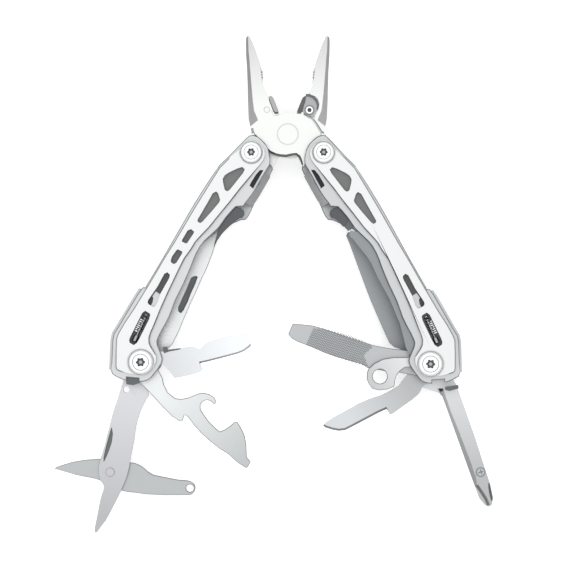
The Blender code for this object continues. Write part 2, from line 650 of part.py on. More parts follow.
OPENER = [(163, 377), (164.3, 383.3), (168.4, 391.4), (175.5, 397), (181.6, 398),
          (188.8, 396.5), (195.9, 393.5), (200, 392), (205, 391.7), (210.2, 393),
          (215.3, 396.5), (216.8, 400.6), (215.3, 403.5), (213.3, 401.6), (211.2, 399.6),
          (207.1, 398.6), (203, 400.6), (201, 403.7), (201, 407.8), (204, 412.9),
          (209.2, 420), (215.3, 426.1), (220.4, 430.5), (225.5, 428.2), (231.6, 424),
          (235.2, 420.5), (237.8, 420.5), (240.8, 425), (244.9, 433.3), (246.9, 442.4),
          (247.4, 455.7), (251.5, 460.5), (248, 466.6), (245.9, 466.4), (238.8, 461.8),
          (228.6, 452.7), (220.4, 447.6), (211.2, 440.4), (201, 431.2), (193.9, 423),
          (188.8, 415.9), (185.2, 413.4), (182.9, 419.8), (180.6, 420.3), (172.4, 414.9),
          (163.3, 405.7), (155.1, 396.5), (148, 389), (137, 378)] \
    + arc(*PL, TANG, -130, -360, 12) + [(159, 369)]
plate("can_opener", "opener_axis", "tool", [shift_l(OPENER), HOLE_L], slab(3))

SCISSOR_MAIN = [(123, 380), (120, 390), (117, 400), (114, 408), (112, 415), (110, 423),
                (107, 434), (105, 443), (103, 450), (100.5, 458), (98.2, 466), (98.4, 474),
                (100, 480), (102.5, 482.5), (104, 486), (103.5, 489), (102, 493),
                (100, 500), (98, 510), (96.5, 518), (95, 525), (94.2, 531), (95.5, 532.5),
                (97, 531.5), (101, 526), (105, 521), (109, 514), (113, 506), (117, 498),
                (121, 490), (124, 483), (127, 475), (129, 467), (131, 455), (134, 440),
                (136, 425), (138, 418), (140, 411), (143, 404), (146, 398), (149, 394),
                (148.2, 391), (149, 386), (154.5, 374)] + arc(*PL, TANG, -30, 210, 12) \
    + [(126.5, 371)]
SMALL = circle((126.5 - PL[0]) * GRID, (PL[1] - 388.5) * GRID, 3.3 * GRID, 12)
RIV = circle((SCISSOR_RIVET[0] - PL[0]) * GRID, (PL[1] - SCISSOR_RIVET[1]) * GRID,
             1.3 * MM, 16)
plate("scissor_blade", "scissors_axis", "tool",
      [shift_l(SCISSOR_MAIN), HOLE_L, SMALL, RIV], slab(5))

SCISSOR_LEVER = [(100, 458.5), (92, 459), (85, 459.5), (78, 460.5), (70, 462), (62, 464.5),
                 (56, 466.5), (53.4, 468.3), (60, 470.2), (68, 472.5), (75, 474.5),
                 (85, 476.5), (93, 478), (100, 480), (108, 485.5), (115, 488.6),
                 (122, 490.5), (127, 491.5), (135, 492.5), (145, 494), (155, 494.5),
                 (165, 495), (188, 495), (192, 494.5), (195, 491), (195.8, 487),
                 (194, 483), (190, 480.7), (186, 480), (178, 479.5), (170, 478),
                 (160, 476), (153, 474.5), (148, 471.5), (144, 468), (140, 465),
                 (135, 463), (130, 462), (120, 459), (109, 457.5)]
RV2 = SCISSOR_RIVET
plate("scissor_lever", "scissor_lever_axis", "tool",
      [about(SCISSOR_LEVER, RV2), circle(0, 0, 1.3 * MM, 16),
       circle((190 - RV2[0]) * GRID, (RV2[1] - 488) * GRID, 3.8 * GRID, 14)], slab(6))
rx, ry = (RV2[0] - PL[0]) * GRID, (PL[1] - RV2[1]) * GRID
turned("scissor_rivet", "scissors_axis", "tool",
       [(0, 9.55), (1.5, 9.55), (1.6, 9.4), (1.0, 9.4), (1.0, 5.65), (1.4, 5.65), (1.4, 5.55),
        (0, 5.55)], x=rx, y=ry, steps=16)

KNIFE = [(217.8, 229.5), (216.8, 236.5), (214.6, 244.5), (212.0, 252.5), (208.6, 261.5), (205, 270), (201, 278), (198, 285),
         (195, 292), (191, 300), (188, 307), (185, 314), (182, 321), (179, 329),
         (175, 337), (172, 343), (166, 349), (157, 356)] \
    + arc(*PL, TANG, 0, -215, 12) \
    + [(135, 347), (146, 331), (158, 309), (170, 287), (182, 266), (192, 252), (201, 242.0),
       (211, 233.5), (216.6, 229.0)]
NICK = [(197, 274.5), (195, 281), (190, 292), (187, 300), (183, 308), (180.5, 311.5),
        (178, 309), (178, 306), (182, 297), (187, 286), (191, 276), (194, 274.8)]
plate("knife_blade", "knife_axis", "tool", [shift_l(KNIFE), shift_l(NICK), HOLE_L], slab(7))

# right handle --------------------------------------------------------------
SAW = [(350, 236.5), (354.7, 241.7), (366.7, 256.6), (372, 264.6), (378.4, 279),
       (390, 300), (400.5, 325), (406.8, 350), (411, 357)] \
    + arc(*PR, TANG, 180, 395, 12) \
    + [(438, 352), (428, 334), (414, 306), (400, 280), (386, 257), (372, 242), (358, 233.5),
       (351, 232)]
plate("saw_blade", "saw_axis", "dark", [shift_r(SAW), HOLE_L], slab(1))

LARGE_KNIFE = [(347.4, 236), (351, 244.5), (357, 261), (364, 280), (371.5, 300), (381, 322),
               (389, 340), (391.5, 345), (396, 348.8), (402, 351), (408, 353.4), (414, 358)] \
    + arc(*PR, TANG, 180, 400, 12) \
    + [(434, 345), (424, 325), (410, 298), (395, 270), (380, 248), (366, 236), (354, 232.5),
       (349, 233)]
plate("large_knife", "large_knife_axis", "dark", [shift_r(LARGE_KNIFE), HOLE_L], slab(7))

RING = [(408.7, 358.8), (394.4, 358.9), (383.6, 360.6), (375.4, 364.7), (369.6, 369.7),
        (367.9, 373.8), (367.5, 380.5), (369.6, 385.5), (372.9, 390), (379.5, 391.7),
        (387.8, 390.8), (395.0, 387.9), (395.6, 382), (397.6, 376), (401.2, 371.8),
        (405.5, 368.6), (411, 368.5)] \
    + arc(*PR, TANG, 205, 500, 14) + [(415, 355.6)]
plate("ring_tool", "ring_axis", "tool",
      [shift_r(RING), HOLE_L,
       circle((380.6 - PR[0]) * GRID, (PR[1] - 377.8) * GRID, 7.3 * GRID, 22)], slab(2))

FILE = [(293.3, 325.2), (302.4, 325.8), (313.2, 327), (325.6, 330.3), (338, 334.9),
        (350.5, 339.4), (362.9, 343.2), (373.7, 346.5), (383.6, 348.6), (395.3, 350.6),
        (410, 352)] + arc(*PR, TANG, 110, -105, 12) \
    + [(414, 376.5), (400, 374), (385, 372.5), (368.3, 369.3), (362.9, 365.6),
       (354.6, 363.1), (338, 358.9), (325.6, 354.4), (313.2, 349), (304.9, 345.7),
       (298.2, 343.2), (292.4, 339.9), (288.9, 335.7)]
plate("file_blade", "file_axis", "file", [shift_r(FILE), HOLE_L], slab(3))

SMALL_KNIFE = [(323.9, 427.3), (326.4, 424.4), (333.9, 419.5), (346.3, 412.8),
               (358.8, 405.8), (371.2, 400.4), (382, 397.1), (391.9, 392.1), (400, 387.1),
               (404, 381.7), (410, 374)] + arc(*PR, TANG, 190, -70, 14) \
    + [(424, 388), (421.5, 393), (419.6, 396), (412.7, 401.8), (403, 408.6), (394.4, 415),
       (391.1, 416.4), (389.5, 413.7), (387.8, 410.7), (379.5, 414.5), (367.1, 421.1),
       (354.6, 427.7), (346.3, 431.9), (339.7, 432.7), (333.1, 431.5), (326.4, 429.4)]
plate("small_knife", "small_knife_axis", "tool", [shift_r(SMALL_KNIFE), HOLE_L], slab(4))

CROSS = [(424.2, 389.3), (434, 392.8), (441, 395), (444.4, 398.5), (451, 416.9),
         (463.8, 452.7), (475.3, 484.5), (481.6, 501.1), (486.7, 507.5), (490.6, 509.2),
         (493.8, 506.9), (494.8, 499.8), (491.8, 485.8), (486.7, 470.5), (476.5, 438.6),
         (463.8, 402.9), (458, 386.5), (451, 374)] + arc(*PR, TANG, -10, 195, 12) \
    + [(418, 378)]
cross = plate("cross_driver", "cross_driver_axis", "tool", [shift_r(CROSS), HOLE_L], (5.9, 9.0))

bpy.context.view_layer.update()
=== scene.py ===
"""Folding multi tool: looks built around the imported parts."""
import json
import math

import bmesh
import bpy
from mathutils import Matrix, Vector


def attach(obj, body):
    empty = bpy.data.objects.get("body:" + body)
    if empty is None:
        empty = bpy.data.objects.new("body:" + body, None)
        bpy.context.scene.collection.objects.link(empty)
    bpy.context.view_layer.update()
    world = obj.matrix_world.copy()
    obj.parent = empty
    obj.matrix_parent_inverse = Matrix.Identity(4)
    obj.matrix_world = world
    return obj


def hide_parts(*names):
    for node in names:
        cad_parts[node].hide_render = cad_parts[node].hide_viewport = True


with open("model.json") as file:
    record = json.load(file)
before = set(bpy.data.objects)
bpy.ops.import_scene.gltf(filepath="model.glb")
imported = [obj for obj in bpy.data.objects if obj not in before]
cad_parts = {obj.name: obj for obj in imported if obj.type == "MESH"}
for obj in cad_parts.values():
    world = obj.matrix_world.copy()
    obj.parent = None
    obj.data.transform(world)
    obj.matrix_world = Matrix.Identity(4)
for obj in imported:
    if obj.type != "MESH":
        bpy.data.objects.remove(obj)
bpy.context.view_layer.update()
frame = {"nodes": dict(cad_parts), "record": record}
NODES = frame["nodes"]
BODY_OF = {n: b for b, ns in frame["record"]["behaviour"]["bodies"].items() for n in ns}

MM = 0.001
G = 0.355e-3                    # one drawing unit in metres
U0, V0 = 273.387, 284.698       # drawing origin
RIVET = (287.8, 134.0)
TOP_L, TOP_R = (251.3, 153.0), (323.5, 153.0)
A_L, A_R = math.radians(27.73), math.radians(26.74)
SH_L = (-0.712, 1.395)          # tools on the left pivot: drawing to place
SH_R = (-0.714, -1.438)


def slab(k):
    top = 16.3 - (k - 1) * 1.8
    return top - 1.5, top


def xy(p, sh=(0, 0)):
    return (p[0] + sh[0] - U0) * G, (V0 - p[1] - sh[1]) * G


def shifted(pts, sh):
    return [(u + sh[0], v + sh[1]) for u, v in pts]


def to_right(p):
    """A point drawn on the left handle, moved to the right one."""
    du, dv = p[0] - TOP_L[0], p[1] - TOP_L[1]
    s, c = math.sin(A_L), math.cos(A_L)
    along, across = -du * s + dv * c, du * c + dv * s
    s, c = math.sin(A_R), math.cos(A_R)
    return TOP_R[0] + along * s - across * c, TOP_R[1] + along * c + across * s


def flip(pts):
    return [(2 * RIVET[0] - u, v) for u, v in pts]


def offset(pts, d):
    """Points moved sideways by d units, to the right of the direction of travel."""
    out, n = [], len(pts)
    for i, (u, v) in enumerate(pts):
        a, b = pts[max(i - 1, 0)], pts[min(i + 1, n - 1)]
        du, dv = b[0] - a[0], b[1] - a[1]
        k = math.hypot(du, dv) or 1
        dd = d[i] if isinstance(d, (list, tuple)) else d
        out.append((u - dv / k * dd, v + du / k * dd))
    return out


# ------------------------------------------------------------------ materials
def steel(name, color, rough, angle=0.0, brush=0.35, spread=0.05, bump=0.25, dirt=0.0,
          pitch=1.0, aniso=0.0, fade=None):
    """Ground steel: fine grain along a direction, soft blotches, slight roughness drift."""
    m = bpy.data.materials.new(name)
    m.use_nodes = True
    nt = m.node_tree
    nd, ln = nt.nodes, nt.links
    bs = nd["Principled BSDF"]
    bs.inputs["Metallic"].default_value = 1.0
    tc = nd.new("ShaderNodeTexCoord")
    mp = nd.new("ShaderNodeMapping")
    mp.inputs["Rotation"].default_value = (0, 0, math.radians(-angle))
    mp.inputs["Scale"].default_value = (260 / pitch, 6500 / pitch, 2600 / pitch)
    ln.new(tc.outputs["Object"], mp.inputs["Vector"])
    grain = nd.new("ShaderNodeTexNoise")
    grain.inputs["Scale"].default_value = 1.0
    grain.inputs["Detail"].default_value = 5.0
    grain.inputs["Roughness"].default_value = 0.6
    ln.new(mp.outputs["Vector"], grain.inputs["Vector"])
    blot = nd.new("ShaderNodeTexNoise")
    blot.inputs["Scale"].default_value = 75.0
    blot.inputs["Detail"].default_value = 3.0
    ln.new(tc.outputs["Object"], blot.inputs["Vector"])
    pit = nd.new("ShaderNodeTexNoise")
    pit.inputs["Scale"].default_value = 2400.0
    pit.inputs["Detail"].default_value = 2.0
    ln.new(tc.outputs["Object"], pit.inputs["Vector"])

    ramp = nd.new("ShaderNodeValToRGB")
    lo = [max(0.0, c * (1 - spread) - dirt) for c in color]
    hi = [min(1.0, c * (1 + spread)) for c in color]
    ramp.color_ramp.elements[0].position = 0.30
    ramp.color_ramp.elements[0].color = (*lo, 1)
    ramp.color_ramp.elements[1].position = 0.70
    ramp.color_ramp.elements[1].color = (*hi, 1)
    mix = nd.new("ShaderNodeMix")
    mix.data_type = "FLOAT"
    mix.inputs["Factor"].default_value = 0.45
    ln.new(grain.outputs["Fac"], mix.inputs["A"])
    ln.new(blot.outputs["Fac"], mix.inputs["B"])
    ln.new(mix.outputs["Result"], ramp.inputs["Fac"])
    ln.new(ramp.outputs["Color"], bs.inputs["Base Color"])

    rr = nd.new("ShaderNodeMapRange")
    rr.inputs["From Min"].default_value = 0.3
    rr.inputs["From Max"].default_value = 0.7
    rr.inputs["To Min"].default_value = max(0.05, rough - 0.06)
    rr.inputs["To Max"].default_value = rough + 0.08
    ln.new(mix.outputs["Result"], rr.inputs["Value"])
    ln.new(rr.outputs["Result"], bs.inputs["Roughness"])

    hm = nd.new("ShaderNodeMix")
    hm.data_type = "FLOAT"
    hm.inputs["Factor"].default_value = 1 - brush
    ln.new(pit.outputs["Fac"], hm.inputs["B"])
    ln.new(grain.outputs["Fac"], hm.inputs["A"])
    bp = nd.new("ShaderNodeBump")
    bp.inputs["Strength"].default_value = bump
    bp.inputs["Distance"].default_value = 0.00004
    ln.new(hm.outputs["Result"], bp.inputs["Height"])
    ln.new(bp.outputs["Normal"], bs.inputs["Normal"])
    if aniso:
        bs.inputs["Anisotropic"].default_value = aniso
    # painted light and shade: the base colour is scaled from 1 at p0 to k at p1, darker where k is
    # below 1 and lighter where k is above 1
    if fade:
        p0, p1, k = fade
        a, b = Vector(xy(p0)), Vector(xy(p1))
        d = (b - a) / (b - a).length_squared
        dot = nd.new("ShaderNodeVectorMath")
        dot.operation = "DOT_PRODUCT"
        ln.new(tc.outputs["Object"], dot.inputs[0])
        dot.inputs[1].default_value = (d.x, d.y, 0)
        rng = nd.new("ShaderNodeMapRange")
        rng.inputs["From Min"].default_value = a.dot(d)
        rng.inputs["From Max"].default_value = a.dot(d) + 1
        rng.inputs["To Min"].default_value = 1.0
        rng.inputs["To Max"].default_value = k
        ln.new(dot.outputs["Value"], rng.inputs["Value"])
        mul = nd.new("ShaderNodeVectorMath")
        mul.operation = "SCALE"
        ln.new(ramp.outputs["Color"], mul.inputs[0])
        ln.new(rng.outputs["Result"], mul.inputs["Scale"])
        ln.new(mul.outputs["Vector"], bs.inputs["Base Color"])
    return m


HL, HR = 90 - 27.73, 90 + 26.74      # along each handle, degrees from +X
EDGE = {}


def side_shading_copy(mat, k, angle):
    """The same steel for a piece's sides and broken edges that turn away, its colour scaled by k:
    painted shade where k is below 1, painted highlight where k is above 1.
    """
    key = (mat.name, k)
    if key not in EDGE:
        m = mat.copy()
        m.name = mat.name + "_edge"
        for nd in m.node_tree.nodes:
            if nd.type == "VALTORGB":
                for e in nd.color_ramp.elements:
                    c = e.color
                    e.color = (c[0] * k, c[1] * k, c[2] * k, 1)
        EDGE[key] = m
    return EDGE[key]


M = {
    "scale_left": steel("steel_scale_left", (0.62, 0.63, 0.633), 0.34, -HL + 180, spread=0.03),
    "scale_right": steel("steel_scale_right", (0.62, 0.63, 0.633), 0.34, HR, spread=0.03),
    "liner_left": steel("steel_liner_left", (0.50, 0.515, 0.52), 0.36, -HL + 180, pitch=1.4),
    # the right liners are the same steel painted a little darker: painted shade
    "liner_right": steel("steel_liner_right", (0.465, 0.48, 0.485), 0.36, HR, pitch=1.4),
    "wall": steel("steel_wall", (0.46, 0.475, 0.485), 0.42, 60, spread=0.07),
    # the head is painted darker towards the jaw tips: painted shade
    "head": steel("steel_head", (0.655, 0.665, 0.655), 0.33, 80, spread=0.03,
                  fade=((285, 105), (285, 36), 0.72)),
    "head_ring": steel("steel_head_ring", (0.56, 0.57, 0.56), 0.4, 80, spread=0.05),
    "insert": steel("steel_insert", (0.33, 0.34, 0.345), 0.40, 70, spread=0.10),
    "screw": steel("steel_screw", (0.72, 0.73, 0.735), 0.22, 10, spread=0.05, pitch=1.6),
    "spring": steel("steel_spring", (0.72, 0.73, 0.74), 0.26, 30),
    "plunger": steel("steel_plunger", (0.34, 0.36, 0.36), 0.38, 30, spread=0.08),
    # near black for the back springs deep in the channel: painted shade
    "dark": steel("steel_dark_shade", (0.098, 0.103, 0.108), 0.44, 64, spread=0.16, bump=0.4),
    # dark plates under the outer windows: painted shadow
    "floor": steel("steel_window_shadow", (0.175, 0.188, 0.185), 0.5, 62, spread=0.14, bump=0.4),
    # black plates in the rim holes: painted shadow
    "hole_shadow": steel("steel_black", (0.045, 0.05, 0.052), 0.55, 62, spread=0.2),
    # near black for the right spring's tail and the left liner notch: painted shade
    "bar": steel("steel_bar", (0.12, 0.127, 0.131), 0.42, 64, spread=0.12, bump=0.4),
    # dark steel for plates in pockets, corners and under the inner windows: painted shadow
    "rim": steel("steel_pocket_shadow", (0.13, 0.14, 0.14), 0.5, 60, spread=0.2),
    # the right handle's folded saw and large knife are painted much darker than the other blades:
    # painted shade in the channel
    "saw": steel("steel_saw", (0.245, 0.26, 0.27), 0.42, 64, spread=0.10, bump=0.4),
    "large_knife": steel("steel_large_knife", (0.27, 0.285, 0.295), 0.42, 64, spread=0.10,
                         bump=0.4),
    # dark steel for painted shade on the jaw's sloping chamfer, and for real marks: the cross
    # driver's mark and the ring round the scissors' pivot rivet
    "mark_and_shade": steel("steel_band", (0.17, 0.18, 0.18), 0.42, 80, spread=0.10),
    "coil": steel("steel_coil", (0.62, 0.64, 0.65), 0.30, 10, spread=0.05),
    # dark floors in the nail nicks: painted shade
    "nick": steel("steel_nick_shadow", (0.145, 0.155, 0.152), 0.5, 62, spread=0.2),
    # dark steel for recesses, notches and the lock pocket: painted shade
    "recess": steel("steel_recess_shade", (0.10, 0.105, 0.105), 0.5, 20, spread=0.2),
    # dark bars for the file's cut: painted shade in its grooves
    "file_cut": steel("steel_file_cut_shade", (0.17, 0.178, 0.185), 0.5, -20, spread=0.2),
    "file": steel("steel_file", (0.40, 0.412, 0.42), 0.40, -20, spread=0.10),
}


def tool_mat(name, angle, color=(0.52, 0.535, 0.54), rough=0.36, **kw):
    M[name] = steel("steel_" + name, color, rough, angle, spread=kw.pop("spread", 0.05), **kw)
    return M[name]


# each tool's colour ramps along a line: painted shade where the factor is below 1, painted light
# where it is above 1
tool_mat("flat_driver", 15, (0.52, 0.535, 0.545), fade=((165, 358), (235, 340), 1.30))
tool_mat("can_opener", -45, (0.62, 0.64, 0.642), fade=((170, 385), (245, 460), 0.66))
tool_mat("scissor_blade", 80, (0.52, 0.523, 0.54), fade=((128, 395), (104, 520), 0.72))
tool_mat("scissor_lever", -5, (0.38, 0.397, 0.40))
tool_mat("knife_blade", 62, (0.60, 0.615, 0.62), 0.30)
tool_mat("ring_tool", -5, (0.44, 0.453, 0.453), fade=((372, 380), (412, 360), 1.35))
tool_mat("small_knife", 25, (0.37, 0.38, 0.388), fade=((412, 392), (350, 422), 1.40))
tool_mat("cross_driver", -70, (0.53, 0.54, 0.55), fade=((445, 395), (482, 480), 0.72))


# ------------------------------------------------------------------- geometry
def new_object(name, me):
    ob = bpy.data.objects.new(name, me)
    bpy.context.scene.collection.objects.link(ob)
    return ob


def loop_faces(bm, rings, cap=True):
    """Closed surface through rings of equal length."""
    n = len(rings[0])
    vs = [[bm.verts.new(p) for p in r] for r in rings]
    for a, b in zip(vs[:-1], vs[1:]):
        for i in range(n):
            j = (i + 1) % n
            bm.faces.new((a[i], a[j], b[j], b[i]))
    if cap:
        bm.faces.new(vs[0][::-1])
        bm.faces.new(vs[-1])
    bmesh.ops.recalc_face_normals(bm, faces=bm.faces)


def prism(name, pts, z0, z1, sh=(0, 0)):
    """Straight block over an outline in drawing units, heights in mm."""
    bm = bmesh.new()
    ring = [xy(p, sh) for p in pts]
    loop_faces(bm, [[(x, y, z0 * MM) for x, y in ring], [(x, y, z1 * MM) for x, y in ring]])
    me = bpy.data.meshes.new(name)
    bm.to_mesh(me)
    bm.free()
    return new_object(name, me)


def disc(name, c, r_mm, z0, z1, sh=(0, 0), n=32):
    cx, cy = xy(c, sh)
    bm = bmesh.new()
    ring = [(cx + r_mm * MM * math.cos(2 * math.pi * i / n),
             cy + r_mm * MM * math.sin(2 * math.pi * i / n)) for i in range(n)]
    loop_faces(bm, [[(x, y, z0 * MM) for x, y in ring], [(x, y, z1 * MM) for x, y in ring]])
    me = bpy.data.meshes.new(name)
    bm.to_mesh(me)
    bm.free()
    return new_object(name, me)


def ring_cut(name, c, r0, r1, z0, z1, sh=(0, 0), n=40):
    """A tube of square section, for round ring pieces."""
    cx, cy = xy(c, sh)
    bm = bmesh.new()
    rings = []
    for i in range(n):
        a = 2 * math.pi * i / n
        ca, sa = math.cos(a), math.sin(a)
        rings.append([bm.verts.new((cx + r * MM * ca, cy + r * MM * sa, z * MM))
                      for r, z in ((r0, z0), (r1, z0), (r1, z1), (r0, z1))])
    for i in range(n):
        a, b = rings[i], rings[(i + 1) % n]
        for k in range(4):
            j = (k + 1) % 4
            bm.faces.new((a[k], a[j], b[j], b[k]))
    bmesh.ops.recalc_face_normals(bm, faces=bm.faces)
    me = bpy.data.meshes.new(name)
    bm.to_mesh(me)
    bm.free()
    return new_object(name, me)


def wedge(name, inner, outer, z_in, z_out, sh=(0, 0), up=0.5, down=0.8, lift=2.5):
    """Cutter that planes a sloping facet from a line on the face to a line on the side."""
    bm = bmesh.new()
    rings = []
    n = len(inner)
    zi = z_in if isinstance(z_in, (list, tuple)) else [z_in] * n
    zo = z_out if isinstance(z_out, (list, tuple)) else [z_out] * n
    for k in range(n):
        p = Vector((*xy(inner[k], sh), zi[k] * MM))
        q = Vector((*xy(outer[k], sh), zo[k] * MM))
        d = (q - p).normalized()
        a, b = p - d * up * MM, q + d * down * MM
        flat = Vector((d.x, d.y, 0))
        flat = flat.normalized() if flat.length > 1e-9 else Vector((1, 0, 0))
        zt = (max(zi) + lift) * MM
        c = Vector((b.x, b.y, 0)) + flat * 0.6 * MM
        rings.append([tuple(a), tuple(b), (c.x, c.y, b.z), (c.x, c.y, zt), (a.x, a.y, zt)])
    loop_faces(bm, rings)
    me = bpy.data.meshes.new(name)
    bm.to_mesh(me)
    bm.free()
    return new_object(name, me)


def flatten(ob):
    """Sharp edges by angle, and normals weighted by area so that faces read flat."""
    ob.data.set_sharp_from_angle(angle=math.radians(40))
    md = ob.modifiers.new("flat", "WEIGHTED_NORMAL")
    md.keep_sharp = True
    md.weight = 90
    bpy.context.view_layer.update()
    dg = bpy.context.evaluated_depsgraph_get()
    me = bpy.data.meshes.new_from_object(ob.evaluated_get(dg))
    ob.modifiers.clear()
    ob.data = me


ring_piece = ring_cut


def remake(node, mat, cutters=(), bevel=0.12, segs=2, angle=28, name=None, edge=0.42,
           flat=0.9, paint=(), clamp=True, clear=None):
    """A finer piece made from a CAD node's own mesh: cuts, then soft edges."""
    me = NODES[node].data.copy()
    bm = bmesh.new()
    bm.from_mesh(me)
    bmesh.ops.remove_doubles(bm, verts=bm.verts, dist=2e-7)
    bmesh.ops.dissolve_limit(bm, angle_limit=math.radians(0.4), verts=bm.verts, edges=bm.edges)
    bmesh.ops.recalc_face_normals(bm, faces=bm.faces)
    if clear:
        # only the long outline is broken, away from the screw seats
        lay = bm.edges.layers.float.new("bevel_weight_edge")
        sharp = [e for e in bm.edges if abs(e.verts[0].co.z - e.verts[1].co.z) < 1e-6
                 and len(e.link_faces) == 2 and e.calc_face_angle(0) > math.radians(30)]
        left = set(sharp)
        while left:
            run, todo = [], [left.pop()]
            while todo:
                e = todo.pop()
                run.append(e)
                for v in e.verts:
                    for f in v.link_edges:
                        if f in left:
                            left.remove(f)
                            todo.append(f)
            ys = [v.co.y for e in run for v in e.verts]
            if max(ys) - min(ys) < 40 * MM:
                continue
            for e in run:
                if all(math.hypot(v.co.x - c[0], v.co.y - c[1]) > r * MM
                       for v in e.verts for c, r in clear):
                    e[lay] = 1.0
    bm.to_mesh(me)
    bm.free()
    ob = new_object(name or "v_" + node, me)
    for c in cutters:
        md = ob.modifiers.new("cut", "BOOLEAN")
        md.operation = "DIFFERENCE"
        md.object = c
        md.solver = "EXACT"
    if bevel:
        md = ob.modifiers.new("soft", "BEVEL")
        md.width = bevel * MM
        md.segments = segs
        md.limit_method = "WEIGHT" if clear else "ANGLE"
        md.angle_limit = math.radians(angle)
        md.use_clamp_overlap = clamp
        md.miter_outer = "MITER_ARC"
    bpy.context.view_layer.update()
    dg = bpy.context.evaluated_depsgraph_get()
    out = bpy.data.meshes.new_from_object(ob.evaluated_get(dg))
    ob.modifiers.clear()
    ob.data = out
    for c in cutters:
        bpy.data.objects.remove(c, do_unlink=True)
    out.materials.clear()
    out.materials.append(mat)
    # faces steeper than flat take the side copy scaled by edge: painted shade, and a painted
    # highlight where edge is above 1
    out.materials.append(side_shading_copy(mat, edge, flat))
    for test, pm in paint:
        out.materials.append(pm)
    for p in out.polygons:
        p.use_smooth = True
        p.material_index = 1 if abs(p.normal.z) < flat else 0
        for i, (test, pm) in enumerate(paint):
            if test(p.center, p.normal):
                p.material_index = 2 + i
    flatten(ob)
    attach(ob, BODY_OF[node])
    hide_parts(node)
    return ob


def finish_piece(ob, mat, body):
    ob.data.materials.clear()
    ob.data.materials.append(mat)
    for p in ob.data.polygons:
        p.use_smooth = True
    flatten(ob)
    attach(ob, body)
    return ob


def mid(node):
    """Middle of a CAD node in plan."""
    mw = NODES[node].matrix_world
    pts = [mw @ v.co for v in NODES[node].data.vertices]
    return ((min(p.x for p in pts) + max(p.x for p in pts)) / 2,
            (min(p.y for p in pts) + max(p.y for p in pts)) / 2)


def recess(c, r_mm, top):
    """Faces inside a driver recess, its walls and floor: these take painted shade."""
    def test(p, n):
        return (math.hypot(p.x - c[0], p.y - c[1]) < r_mm * MM
                and 18.5 * MM < p.z < top * MM)
    return test


# --------------------------------------------------------------- plier head
J_IN = [(247.6, 33), (248, 37), (248.5, 50), (249.5, 60), (250, 68), (251, 80), (252, 92),
        (253, 102), (254, 110), (256, 115), (258, 120)]
J_OUT = [(245.2, 33), (245.4, 37), (245.8, 50), (246.2, 60), (246.8, 68), (247.2, 80),
         (247.5, 92), (247.7, 102), (248.1, 110), (248.4, 117), (250.0, 126.5)]
J_ZO = [14.5 - 0.88 * 0.355 * math.dist(a, b) for a, b in zip(J_IN, J_OUT)]


# a dark plate behind the jaw's teeth notches: painted shade
def teeth_shadow(side, body):
    p = [(260.5, 68.4), (262.0, 70.0), (262.4, 75.0), (262.6, 79.0), (261.4, 80.4), (260.4, 75)]
    finish_piece(prism("teeth_shadow_" + body, p if side > 0 else flip(p), 6.2, 12.85),
                 M["recess"], body)


def teeth(side):
    """Notches of the round gripping area, open to the jaw's inner side."""
    out = []
    for u, v in ((260.4, 69.4), (260.7, 72.0), (261.0, 74.6), (261.3, 77.2), (261.6, 79.6)):
        p = [(u, v - 0.75), (u + 3, v - 0.9), (u + 3, v + 0.9), (u, v + 0.75)]
        out.append(prism("t", p if side > 0 else flip(p), 12.9, 15))
    return out


B_OUT = [(252.3, 128), (254.2, 134.4), (256, 136), (258, 138.6), (260, 142), (263, 145),
         (267, 149), (270, 152), (275, 155), (280, 156.5), (286, 157), (292, 155.5),
         (296, 155), (298.5, 157), (300, 160), (302, 165.2)]
B_D = [0.8, 1.0, 1.1, 1.1, 1.2, 1.2, 1.3, 1.6, 2.2, 2.6, 2.6, 2.4, 2.4, 2.4, 2.2, 1.6]
B_IN = offset(B_OUT, [-d for d in B_D])
B_ZO = [14.5 - 0.88 * 0.355 * d for d in B_D]
r_c = xy(RIVET)
# the sloping chamfer faces near the rivet are painted dark: painted shade
remake("jaw_front", M["head"], [wedge("c", J_IN, J_OUT, 14.5, J_ZO),
                                wedge("c2", B_IN, B_OUT, 14.5, B_ZO)] + teeth(1),
       bevel=0.10, edge=0.77,
       paint=[(lambda p, n: 0.2 < n.z < 0.93 and p.y < r_c[1] + 0.5 * MM and p.z > 13.2 * MM
               and p.x < r_c[0] + 5.6 * MM, M["mark_and_shade"])])
teeth_shadow(1, "head")
teeth_shadow(-1, "rear_jaw")
remake("jaw_rear", M["head"], [wedge("c", flip(J_IN), flip(J_OUT), 14.5, J_ZO)] + teeth(-1),
       bevel=0.10, edge=0.84)
remake("head_rivet", M["head"], bevel=0.0)
remake("cutter_insert_left", M["insert"], bevel=0.18)
I_IN = [(307.2, 92), (306.5, 96), (305, 103), (303.5, 108), (302.3, 114)]
I_OUT = [(303.4, 92), (302.2, 96), (299.4, 103), (297.6, 108), (296.4, 114)]
remake("cutter_insert_right", M["insert"], [wedge("c", I_IN, I_OUT, 14.2, 12.4)], bevel=0.08,
       edge=0.85)
remake("cutter_screw_left", M["head"], bevel=0.05, edge=0.9)
# the cutter screw's recess is painted dark: painted shade
c = mid("cutter_screw_right")
remake("cutter_screw_right", M["screw"], bevel=0.12, segs=1, edge=0.7, flat=0.97,
       paint=[(lambda p, n, c=c: math.hypot(p.x - c[0], p.y - c[1]) < 0.75 * MM
               and 12 * MM < p.z < 14.32 * MM, M["recess"])])
# painted shadow: a dark crescent plate, the shadow gap round the right insert's pocket
RIM = [(305.6, 93.4), (309.5, 94.0), (314.0, 96.2), (317.6, 100.0), (318.9, 104.4),
       (318.2, 109.0), (316.6, 109.0), (317.0, 104.8), (315.6, 101.2), (312.6, 98.0),
       (309.0, 96.4), (306.0, 96.0)]
finish_piece(prism("insert_rim_shadow", RIM, 14.16, 14.46), M["rim"], "rear_jaw")
finish_piece(ring_piece("cutter_ring", (266.8, 109.5), 0.95, 1.22, 14.2, 14.52),
             M["head_ring"], "head")
